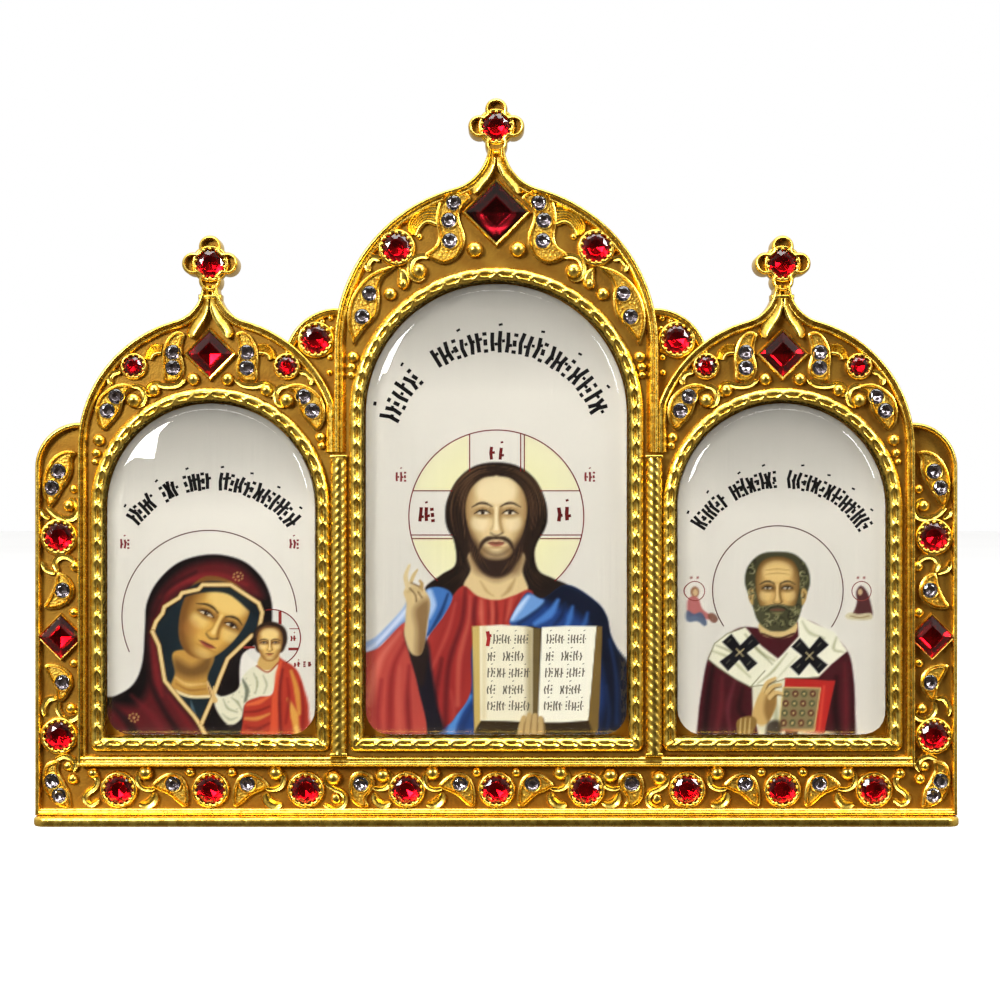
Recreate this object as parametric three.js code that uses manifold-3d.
// Table icon triptych: a gold-plated zinc casting with three pictures under clear domes,
// set with red glass stones. Millimetres, +Z up, +X to the right, the face looks along -Y.
// The origin is the middle of the foot's underside.
//
// The relief is drawn face-up: x to the right, y up the piece, z the level above the flat
// back of the plate. stand() then turns it upright.
import * as THREE from 'three';
import { mergeVertices } from 'three/addons/utils/BufferGeometryUtils.js';
import Module from 'manifold-3d';

const wasm = await Module();
wasm.setup();

// Foot, and the fillet that carries the plate on it
const halfWidth = 50;
const footDepth = 18;
const footThickness = 1;
const footLedge = 1.8;
const footCorner = 1.5;
const footChamfer = 0.3;
const backFillet = 1.5;

// Levels above the back of the plate
const bandGround = 2;
const outerRimHeight = 1;
const fanGround = 2.2;
const sideGround = 2.6;
const centreGround = 3;
const pocketFloor = 1;
const cardThickness = 0.4;

// What stands on a ground is rooted this far into it
const root = 0.4;

// Heights above the ground
const panelRimHeight = 0.9;
const laurelHeight = 0.9;
const leafHeight = 0.5;
const petalHeight = 0.8;
const collarHeight = 0.9;

// Rims
const rimWidth = 0.6;
const rimDraft = 0.2;
const panelRimWidth = 0.9;

// Side wings, and the two fans between the gables
const plateBottom = 0.5;
const rimBottom = 1;
const wingTop = 43.6;
const wingCorner = 4.9;
const fan = { x: 17.1, y: 50.1, radius: 5.9, drop: 8 };

// Panels: a round-headed gable drawn up into a concave neck under its cross
const panelBottom = 6.4;
const rimEnd = 40.4;
const sideX = 31;
const sidePanel = {
  halfWidth: 14.3, springing: 40.8, neckHalf: 0.85, neckRadius: 4, cross: 60.8,
  ground: sideGround,
};
const centrePanel = {
  halfWidth: 17.5, springing: 52, neckHalf: 0.85, neckRadius: 5, cross: 75.65,
  ground: centreGround,
};

// Windows: the outer edge of the laurel moulding, with its round head
const laurelWidth = 1.2;
const laurelCorner = 0.8;
const archSteps = 10;
const windowBottom = 8;
const sideWindow = { halfWidth: 13, springing: 34.4, domeThickness: 2.6 };
const centreWindow = { halfWidth: 15.9, springing: 44.5, domeThickness: 3 };
const domeGap = 0.5;
const domeCorner = 2.8;
const domeRound = 2;

// Columns between the windows
const column = { x: 17.05, radius: 0.95, bottom: 7.4, top: 40.1, cap: 0.5, capRadius: 1.05 };
const columnSides = 8;

// Stones, their collars and bezels; sizes of square ones run from middle to corner
const stoneSides = 8;
const stoneSeat = 0.2;
const girdleHeight = 0.5;
const crownHeight = 0.35;
const tableShare = 0.58;
const setting = 0.06;
const roundStone = { radius: 1.45, wall: 0.34, sides: stoneSides };
const smallStone = { radius: 1.02, wall: 0.3, sides: stoneSides };
const bandSquare = { radius: 2.3, wall: 0.26, sides: 4 };
const gableSquare = { radius: 2.4, wall: 0.32, sides: 4 };
const centreSquare = { radius: 3.25, wall: 0.34, sides: 4 };

// Crosses: four round lobes with a sunk middle
const lobeRadius = 1.22;
const lobeReach = 1.83;
const crossTop = 3.4;
const crossFloor = 2.5;
const crossRim = 0.35;
const crossBar = { half: 1.25, height: 0.6, top: 57.4, back: 0.5 };

const backY = bandGround + outerRimHeight + footLedge - footDepth / 2;
const sides = [-1, 1];
const radians = THREE.MathUtils.degToRad;
const degrees = THREE.MathUtils.radToDeg;

// ---- Outlines ----

const pairs = (points) => points.map(([x, y]) => new THREE.Vector2(x, y));
const placed = (points, x, y = 0, flip = 1) => points.map(
  (p) => new THREE.Vector2(x + flip * p.x, y + p.y));

// Points along an arc, from one angle to another in degrees
function arc(x, y, radius, from, to, steps) {
  return Array.from({ length: steps + 1 }, (_, i) => {
    const angle = radians(from + ((to - from) * i) / steps);
    return new THREE.Vector2(x + radius * Math.cos(angle), y + radius * Math.sin(angle));
  });
}

// A smooth closed outline through a few points
function closedCurve(points, samples) {
  const corners = points.map(([x, y]) => new THREE.Vector3(x, y, 0));
  const curve = new THREE.CatmullRomCurve3(corners, true, 'centripetal');
  return curve.getPoints(samples).slice(0, samples).map((p) => new THREE.Vector2(p.x, p.y));
}

// The outline of a strip along a smooth line, its width passing through widths in turn
function stripOutline(points, widths, samples) {
  const curve = new THREE.SplineCurve(pairs(points));
  const left = [];
  const right = [];
  for (let i = 0; i <= samples; i += 1) {
    const at = (i / samples) * (widths.length - 1);
    const low = Math.min(Math.floor(at), widths.length - 2);
    const half = THREE.MathUtils.lerp(widths[low], widths[low + 1], at - low) / 2;
    const middle = curve.getPoint(i / samples);
    const along = curve.getTangent(i / samples);
    const across = new THREE.Vector2(-along.y, along.x).multiplyScalar(half);
    left.push(middle.clone().add(across));
    right.unshift(middle.clone().sub(across));
  }
  return [...left, ...right];
}

// The right half of a gable's edge, drawn in by inset, from bottom up to the neck
function gableHalf(panel, inset, bottom) {
  const outer = panel.halfWidth - inset;
  const neckX = panel.neckHalf + panel.neckRadius;
  const apart = panel.halfWidth + panel.neckRadius;
  const rise = Math.sqrt(apart * apart - neckX * neckX);
  const meet = degrees(Math.atan2(rise, neckX));
  return [
    new THREE.Vector2(outer, bottom),
    ...arc(0, panel.springing, outer, 0, meet, 6),
    ...arc(neckX, panel.springing + rise, panel.neckRadius + inset, meet + 180, 180, 3).slice(1),
  ];
}

// A round-headed window's outline, drawn in from the laurel's outer edge by inset
function archway(window, inset, corner, steps) {
  const half = window.halfWidth - inset;
  const bottom = windowBottom + inset;
  return [
    ...arc(half - corner, bottom + corner, corner, -90, 0, 2),
    ...arc(0, window.springing, half, 0, 180, steps),
    ...arc(corner - half, bottom + corner, corner, 180, 270, 2),
  ];
}

// The wings' edge, from the top of the right one down and round to the top of the left one
function wingEdge(inset, bottom) {
  const shoulder = wingTop - wingCorner;
  return [
    ...arc(halfWidth - wingCorner, shoulder, wingCorner - inset, 90, 0, 5),
    new THREE.Vector2(halfWidth - inset, bottom),
    new THREE.Vector2(inset - halfWidth, bottom),
    ...arc(wingCorner - halfWidth, shoulder, wingCorner - inset, 180, 90, 5),
  ];
}

function quatrefoil(radius) {
  const lobe = (turn) => arc(
    lobeReach * Math.cos(radians(turn)), lobeReach * Math.sin(radians(turn)),
    radius, turn - 118, turn + 118, 4);
  return [0, 90, 180, 270].flatMap(lobe);
}

// ---- Solids ----

// A prism of an outline between two levels
function slab(points, low, high) {
  const settings = { depth: high - low, bevelEnabled: false };
  return new THREE.ExtrudeGeometry(new THREE.Shape(points), settings).translate(0, 0, low);
}

// A prism whose ends draw in by size over thickness, as a chamfer or, in steps, a round
function drawnIn(points, low, high, size, thickness, steps = 1) {
  const settings = {
    depth: high - low - 2 * thickness, bevelSegments: steps,
    bevelSize: size, bevelThickness: thickness, bevelOffset: -size,
  };
  const geometry = new THREE.ExtrudeGeometry(new THREE.Shape(points), settings);
  return geometry.translate(0, 0, low + thickness);
}

// A raised moulding with sloping sides; its lower, mirrored half is rooted in the plate
const moulding = (points, ground, height) => drawnIn(
  points, ground - root - height, ground + height, rimDraft, height);

// A turned form at a place; the profile is pairs of radius and level, the sides are flat
const turned = (profile, x, y, count) => new THREE.LatheGeometry(pairs(profile), count)
  .rotateX(Math.PI / 2).translate(x, y, 0);

function ball([x, y, radius], ground) {
  return new THREE.SphereGeometry(radius, 5, 3).rotateX(Math.PI / 2).translate(x, y, ground);
}

function solid(geometry) {
  const bare = geometry.clone();
  bare.deleteAttribute('normal');
  bare.deleteAttribute('uv');
  const merged = mergeVertices(bare, 1e-4);
  return new wasm.Manifold(new wasm.Mesh({
    numProp: 3,
    vertProperties: merged.attributes.position.array,
    triVerts: new Uint32Array(merged.index.array),
  }));
}

const joined = (geometries) => geometries.map(solid).reduce((all, next) => all.add(next));

function geometryOf(body) {
  const { vertProperties, triVerts } = body.getMesh();
  const geometry = new THREE.BufferGeometry();
  geometry.setAttribute('position', new THREE.BufferAttribute(vertProperties, 3));
  return geometry.setIndex(new THREE.BufferAttribute(triVerts, 1));
}

// Turns face-up relief upright: a level becomes a distance in front of the back plane
const stand = (geometry) => geometry.rotateX(Math.PI / 2).translate(0, backY, 0);

// ---- Places ----

const panels = [
  { ...sidePanel, x: -sideX },
  { ...centrePanel, x: 0 },
  { ...sidePanel, x: sideX },
];
const windows = [
  { ...sideWindow, name: 'left', x: -sideX, ground: sideGround },
  { ...centreWindow, name: 'centre', x: 0, ground: centreGround },
  { ...sideWindow, name: 'right', x: sideX, ground: sideGround },
];

const bandY = 3.75;
const bandSpots = [0, 9.75, 20.7, 31.05, 41];
const wordOf = (side) => (side < 0 ? 'left' : 'right');

const stones = [
  { name: 'stone_centre_cross', x: 0, y: centrePanel.cross, ground: crossFloor, ...roundStone },
  { name: 'stone_centre_diamond', x: 0, y: 66.3, ground: centreGround, ...centreSquare },
  { name: 'stone_band_middle', x: 0, y: bandY, ground: bandGround, ...roundStone },
  ...sides.flatMap((side) => {
    const word = wordOf(side);
    const wing = { ground: bandGround };
    return [
      { name: `stone_${word}_cross`, x: side * sideX, y: sidePanel.cross, ground: crossFloor,
        ...roundStone },
      { name: `stone_${word}_diamond`, x: side * sideX, y: 51, ground: sideGround,
        ...gableSquare },
      { name: `stone_${word}_gable_outer`, x: side * (sideX + 8.3), y: 49.7,
        ground: sideGround, ...smallStone },
      { name: `stone_${word}_gable_inner`, x: side * (sideX - 8.3), y: 49.7,
        ground: sideGround, ...smallStone },
      { name: `stone_centre_gable_${word}`, x: side * 10.8, y: 62.5, ground: centreGround,
        ...roundStone },
      { name: `stone_${word}_fan`, x: side * 19.6, y: 52.6, ground: fanGround, ...roundStone },
      { name: `stone_${word}_wing_upper`, x: side * 47.5, y: 31.2, ...wing, ...roundStone },
      { name: `stone_${word}_wing_diamond`, x: side * 47.25, y: 20.35, ...wing, ...bandSquare },
      { name: `stone_${word}_wing_lower`, x: side * 47.5, y: 9.6, ...wing, ...roundStone },
      ...bandSpots.slice(1).map((x, i) => (
        { name: `stone_band_${word}_${i + 1}`, x: side * x, y: bandY, ...wing, ...roundStone })),
    ];
  }),
];

// ---- Carving: leaves, scrolls and balls, drawn for the right-hand side ----

const petalOfCentre = [
  [0.1, 72], [0.8, 70.9], [1.7, 70.2], [2.5, 69.5], [2.8, 68.8], [2.3, 68], [1.5, 68.6],
  [0.8, 69.4], [0.15, 70.2],
];
const petalOfSide = [
  [0.1, 57], [0.4, 56], [1, 55.2], [1.9, 54.6], [2.45, 53.9], [2.5, 53.1], [2.2, 52.2],
  [1.5, 52.8], [0.7, 53.7], [0.15, 54.3],
];

const centreCarving = {
  leaves: [
    [[2.8, 67.9], [3.9, 68.3], [5.4, 67.8], [6.3, 66.5], [6.5, 65], [6.3, 63.8], [6.7, 62.6],
      [7.6, 61.7], [6.9, 61], [5.5, 60.7], [4.2, 61.4], [3.5, 62.7], [3.4, 63.9], [3.8, 65.1],
      [4, 66.3], [3.2, 67.5]],
    [[6.6, 66.6], [7.8, 66.4], [8.8, 65.8], [9.3, 64.9], [8.3, 64.8], [7.5, 65.2], [6.6, 65.2]],
    [[11.6, 60.2], [12.4, 60.1], [13.3, 59.5], [14.5, 58.4], [15.4, 56.9], [15.8, 55.4],
      [15.8, 53.8], [15.3, 52], [14.2, 53.6], [12.8, 55.1], [12.6, 57.1], [12.6, 58.4], [11.9, 59.5]],
  ],
  strips: [
    { points: [[7.2, 61.3], [8.6, 61.4], [9.2, 60.6], [8.9, 59.6]], widths: [0.7, 0.6, 0.5] },
  ],
  balls: [
    [2.3, 62.3, 0.8], [10, 58.6, 0.7], [11.5, 57.2, 0.6], [15.5, 50.6, 0.55],
  ],
};

const sideCarving = {
  leaves: [
    [[2.8, 53.3], [3.6, 53.5], [4.5, 52.8], [5.1, 51.6], [5.2, 50.4], [5.1, 49.3], [5.2, 48.2],
      [4.4, 48], [3.5, 48], [2.9, 48.9], [2.8, 49.9], [3.1, 50.9], [3, 52]],
    [[5.4, 51.9], [6.1, 51.8], [6.7, 51.3], [6.7, 50.9], [6.3, 50.8], [5.4, 51.1]],
    [[8.6, 47.6], [9.7, 47.8], [10.8, 47.2], [11.7, 46.2], [12.2, 45.2], [12.2, 44.3],
      [12, 43.3], [11.5, 42.7], [10.9, 43.4], [9.9, 44.4], [9.5, 45.4], [9.3, 46.2],
      [9, 47]],
  ],
  strips: [
    { points: [[2.7, 48.2], [3.9, 47.6], [5.3, 47.8], [6.3, 47.9], [6.7, 47.3]],
      widths: [0.5, 0.6, 0.5] },
    { points: [[8.6, 47.8], [7.5, 47.4], [7.1, 46.5], [7.6, 45.6]], widths: [0.6, 0.6, 0.5] },
  ],
  balls: [[1.8, 48.3, 0.6], [12.1, 41.8, 0.55]],
};

const wingCarving = {
  leaves: [
    [[45.8, 40.2], [46.8, 40.5], [48, 39.9], [48.8, 38.7], [49, 37.2], [48.9, 35.6],
      [48.5, 34.5], [47.9, 34.4], [47.2, 36.1], [46.2, 37.5], [45.9, 38.7]],
    [[47.4, 27.5], [46.4, 27], [45.9, 25.7], [46.1, 24.4], [47.2, 23.6], [48.4, 23.5],
      [48.9, 23.9], [48.5, 24.7], [48, 25.9]],
    [[48.9, 17.1], [48.3, 17.3], [47, 17], [46.2, 16.1], [46.1, 15], [46.5, 14], [47.2, 13.4],
      [47.7, 13.7], [48, 15], [48.6, 16.3]],
    [[47.5, 6.9], [48.6, 6.4], [49, 5.2], [48.9, 3.7], [48.4, 2.7], [47.3, 2.2], [46.3, 2.1],
      [46.4, 3.7], [47, 5], [47.4, 6]],
  ],
  strips: [
    { points: [[48.6, 34.2], [47.6, 33.7], [46.4, 33.5], [45.8, 34.2]], widths: [0.4, 0.6, 0.5] },
    { points: [[47.6, 27.2], [47.8, 28.5], [46.9, 28.9], [46, 28.5]], widths: [0.4, 0.6, 0.5] },
    { points: [[47.3, 13.6], [47.5, 12.4], [46.7, 11.8], [46, 12.2]], widths: [0.4, 0.6, 0.5] },
    { points: [[47.7, 6.9], [46.6, 7.2], [45.9, 6.7]], widths: [0.4, 0.6, 0.5] },
  ],
  balls: [[45.9, 36.2, 0.5]],
};

// The band's leaf with its scroll, drawn about its crystal and growing to the right
const bandLeaf = {
  leaves: [
    [[-2.6, -0.2], [-1.5, 0.8], [-0.3, 1.25], [0.9, 0.75], [1.5, -0.7], [1.55, -1.9],
      [1.25, -2.5], [0.6, -2.3], [-0.6, -1.4], [-1.8, -0.7]],
  ],
  strips: [
    { points: [[-2.2, -0.4], [-3.2, -0.6], [-3.8, 0.1], [-3.7, 1.1]], widths: [0.5, 0.5, 0.5] },
  ],
  balls: [],
};

// The band's round leaf between two hooks, drawn about its crystal
const bandRoundLeaf = {
  leaves: [
    [[-1.3, 0.3], [-0.9, 1.2], [0.1, 1.4], [1.1, 0.8], [1.4, -0.1], [0.8, -1.1], [0.6, -2],
      [0.9, -2.5], [-0.1, -2.4], [-1, -1.5]],
  ],
  strips: [
    { points: [[1.2, -0.3], [2.1, -0.4], [2.9, 0], [2.9, 0.8]], widths: [0.5, 0.5, 0.5] },
    { points: [[-3.7, 0.6], [-3.3, -0.5], [-2.1, -0.9], [-2, -1.9], [-3, -2.4], [-4, -1.9]],
      widths: [0.5, 0.5, 0.8, 0.5] },
  ],
  balls: [],
};

// The S-scroll that closes the band at each end
const bandEnd = {
  leaves: [],
  strips: [
    { points: [[43.7, 5.5], [43.3, 4.5], [44.4, 3.5], [44.4, 2.5], [43.6, 2.3], [42.9, 2.8]],
      widths: [0.7, 0.5, 0.5, 0.4] },
  ],
  balls: [],
};

const bandMotifs = [
  { carving: bandLeaf, x: 3.9, flip: 1 },
  { carving: bandRoundLeaf, x: 14.7, flip: -1 },
  { carving: bandLeaf, x: 27, flip: -1 },
  { carving: bandLeaf, x: 35.05, flip: 1 },
];

function carve({ leaves, strips, balls }, ground, x, y, flip) {
  const set = (points) => placed(points, x, y, flip);
  const base = ground - root;
  return [
    ...leaves.map((points) => slab(set(closedCurve(points, 9)), base, ground + leafHeight)),
    ...strips.map(({ points, widths }) => slab(
      set(stripOutline(points, widths, points.length - 1)), base, ground + leafHeight)),
    ...balls.map(([bx, by, radius]) => ball([x + flip * bx, y + by, radius], ground)),
  ];
}

// ---- Frame ----

const wings = [
  slab(wingEdge(0, plateBottom), 0, bandGround),
  moulding(
    [...wingEdge(0, rimBottom), ...wingEdge(rimWidth, rimBottom + rimWidth).reverse()],
    bandGround, outerRimHeight),
];

const fans = sides.flatMap((side) => {
  const reach = arc(0, 0, fan.radius, 0, 90, 4);
  const inner = arc(0, 0, fan.radius - rimWidth, 90, 0, 4);
  const field = [...pairs([[-1, -fan.drop], [fan.radius, -fan.drop]]), ...reach,
    new THREE.Vector2(-1, fan.radius)];
  return [
    slab(placed(field, side * fan.x, fan.y, side), 0, fanGround),
    moulding(placed([...reach, ...inner], side * fan.x, fan.y, side),
      fanGround, panelRimHeight),
  ];
});

// Each leg of a rim stops above the column beside it; the two outermost reach the border
const panelRims = panels.flatMap((panel) => sides.map((side) => {
  const foot = side * panel.x > 0 ? panelBottom : rimEnd;
  const strip = [
    ...gableHalf(panel, 0, foot), ...gableHalf(panel, panelRimWidth, foot).reverse()];
  return moulding(placed(strip, panel.x, 0, side), panel.ground, panelRimHeight);
}));

const borderEnd = sideX + sidePanel.halfWidth;
const border = moulding(
  pairs([[-borderEnd, panelBottom], [borderEnd, panelBottom],
    [borderEnd, panelBottom + panelRimWidth], [-borderEnd, panelBottom + panelRimWidth]]),
  sideGround, panelRimHeight);

const fields = panels.map((panel) => {
  const half = gableHalf(panel, 0, panelBottom);
  const edge = [...half, ...placed(half, 0, 0, -1).reverse()];
  return slab(placed(edge, panel.x), 0, panel.ground);
});

const crosses = panels.map((panel) => slab(
  placed(quatrefoil(lobeRadius), panel.x, panel.cross), 0, crossTop));

const crossBars = sides.map((side) => {
  const { half, height, top, back } = crossBar;
  return new THREE.BoxGeometry(2 * half, height, crossTop - 2 * back)
    .translate(side * sideX, top - height / 2, crossTop / 2);
});

const laurels = windows.map((window) => moulding(
  placed(archway(window, 0, laurelCorner, archSteps), window.x), window.ground, laurelHeight));

const columns = sides.flatMap((side) => {
  const { radius, bottom, top, cap, capRadius } = column;
  const shaft = (r, low, high) => new THREE.CylinderGeometry(r, r, high - low, columnSides)
    .translate(side * column.x, (low + high) / 2, centreGround);
  return [
    shaft(radius, bottom + cap / 2, top - cap / 2),
    shaft(capRadius, bottom, bottom + cap),
    shaft(capRadius, top - cap, top),
  ];
});

// The foot lies flat: its outline is drawn in plan, x by level, and raised along y
function footGeometry() {
  const front = footDepth / 2 + backY;
  const back = backY - footDepth / 2;
  const right = halfWidth - footCorner;
  const plan = [
    ...arc(right, footCorner - front, footCorner, -90, 0, 3),
    ...arc(right, -back - footCorner, footCorner, 0, 90, 3),
    ...arc(-right, -back - footCorner, footCorner, 90, 180, 3),
    ...arc(-right, footCorner - front, footCorner, 180, 270, 3),
  ];
  return drawnIn(plan, 0, footThickness, footChamfer, footChamfer).rotateX(-Math.PI / 2);
}

function filletGeometry() {
  const start = footThickness - footChamfer;
  const profile = pairs([
    [root, start], [root, footThickness + backFillet],
    [0, footThickness + backFillet], [-backFillet, footThickness], [-backFillet, start],
  ]);
  const length = 2 * (halfWidth - footCorner);
  return slab(profile, -length / 2, length / 2).rotateY(-Math.PI / 2);
}

function collarOf({ x, y, ground, radius, wall, sides: count }) {
  const bore = radius + setting;
  const rim = ground + collarHeight;
  return turned([
    [0, ground - root], [bore + wall, ground - root], [bore + wall / 2, rim], [0, rim],
  ], x, y, count);
}

function collarBore({ x, y, ground, radius, sides: count }) {
  const bore = radius + setting;
  const seat = ground + stoneSeat;
  return turned([[0, seat], [bore, seat], [bore, seat + 3], [0, seat + 3]], x, y, count);
}

const carving = [
  ...sides.flatMap((side) => [
    ...carve(centreCarving, centreGround, 0, 0, side),
    ...carve(wingCarving, bandGround, 0, 0, side),
    ...carve(bandEnd, bandGround, 0, 0, side),
    ...sides.flatMap((flip) => carve(sideCarving, sideGround, side * sideX, 0, flip)),
    ...bandMotifs.flatMap((motif) => carve(
      motif.carving, bandGround, side * motif.x, bandY + 0.65, -side * motif.flip)),
    slab(placed(closedCurve(petalOfCentre, 9), 0, 0, side),
      centreGround - root, centreGround + petalHeight),
    ...sides.map((flip) => slab(placed(closedCurve(petalOfSide, 9), side * sideX, 0, flip),
      sideGround - root, sideGround + petalHeight)),
  ]),
];

function frameBody() {
  const plate = joined([
    ...wings, ...fans, ...fields, ...panelRims, ...crosses, ...crossBars, border, ...laurels]);
  const crossMiddles = panels.map((panel) => slab(
    placed(quatrefoil(lobeRadius - crossRim), panel.x, panel.cross), crossFloor, crossTop + 1));
  const pockets = windows.flatMap((window) => [
    slab(placed(archway(window, laurelWidth, laurelCorner, archSteps), window.x),
      pocketFloor, window.ground + 3),
  ]);
  const cut = plate.subtract(joined([...crossMiddles, ...pockets]));
  const standing = joined([
    ...columns, ...carving, ...stones.map(collarOf), footGeometry(), filletGeometry(),
  ]);
  return cut.add(standing).subtract(joined(stones.map(collarBore)));
}

// ---- Loose pieces ----

function cardGeometry(window) {
  const outline = archway(window, laurelWidth + domeGap, domeCorner, archSteps);
  return slab(placed(outline, window.x), pocketFloor, pocketFloor + cardThickness);
}

// A slab with deeply rounded edges, sliced flat at the back
function domeGeometry(window) {
  const back = pocketFloor + cardThickness;
  const front = back + window.domeThickness;
  const outline = placed(archway(window, laurelWidth + domeGap, domeCorner, archSteps), window.x);
  const pillow = solid(drawnIn(outline, back - domeRound - 1, front, domeRound, domeRound, 2));
  return geometryOf(pillow.subtract(solid(slab(outline.map((p) => p.clone()
    .sub(new THREE.Vector2(window.x, 20)).multiplyScalar(2)
    .add(new THREE.Vector2(window.x, 20))), back - domeRound - 1, back))));
}

function stoneGeometry({ x, y, ground, radius, sides: count }) {
  const seat = ground + stoneSeat;
  const girdle = seat + girdleHeight;
  const table = girdle + crownHeight;
  return turned([
    [0, seat], [radius, seat], [radius, girdle], [radius * tableShare, table], [0, table],
  ], x, y, count);
}

const gold = new THREE.MeshStandardMaterial({ color: '#e3b53c', roughness: 0.25, metalness: 1 });
const picture = new THREE.MeshStandardMaterial({ color: '#b9b4ab', roughness: 0.4, metalness: 0.2 });
const clear = new THREE.MeshStandardMaterial({
  color: '#ffffff', roughness: 0.03, metalness: 0, transparent: true, opacity: 0.3,
});
const ruby = new THREE.MeshStandardMaterial({ color: '#a3101c', roughness: 0.08, metalness: 0 });

function named(name, geometry, material) {
  const mesh = new THREE.Mesh(stand(geometry), material.clone());
  mesh.name = name;
  return mesh;
}

const triptych = new THREE.Group();
triptych.add(named('frame', geometryOf(frameBody()), gold));
windows.forEach((window) => {
  triptych.add(named(`${window.name}_picture`, cardGeometry(window), picture));
  triptych.add(named(`${window.name}_dome`, domeGeometry(window), clear));
});
stones.forEach((stone) => triptych.add(named(stone.name, stoneGeometry(stone), ruby)));

export default triptych;
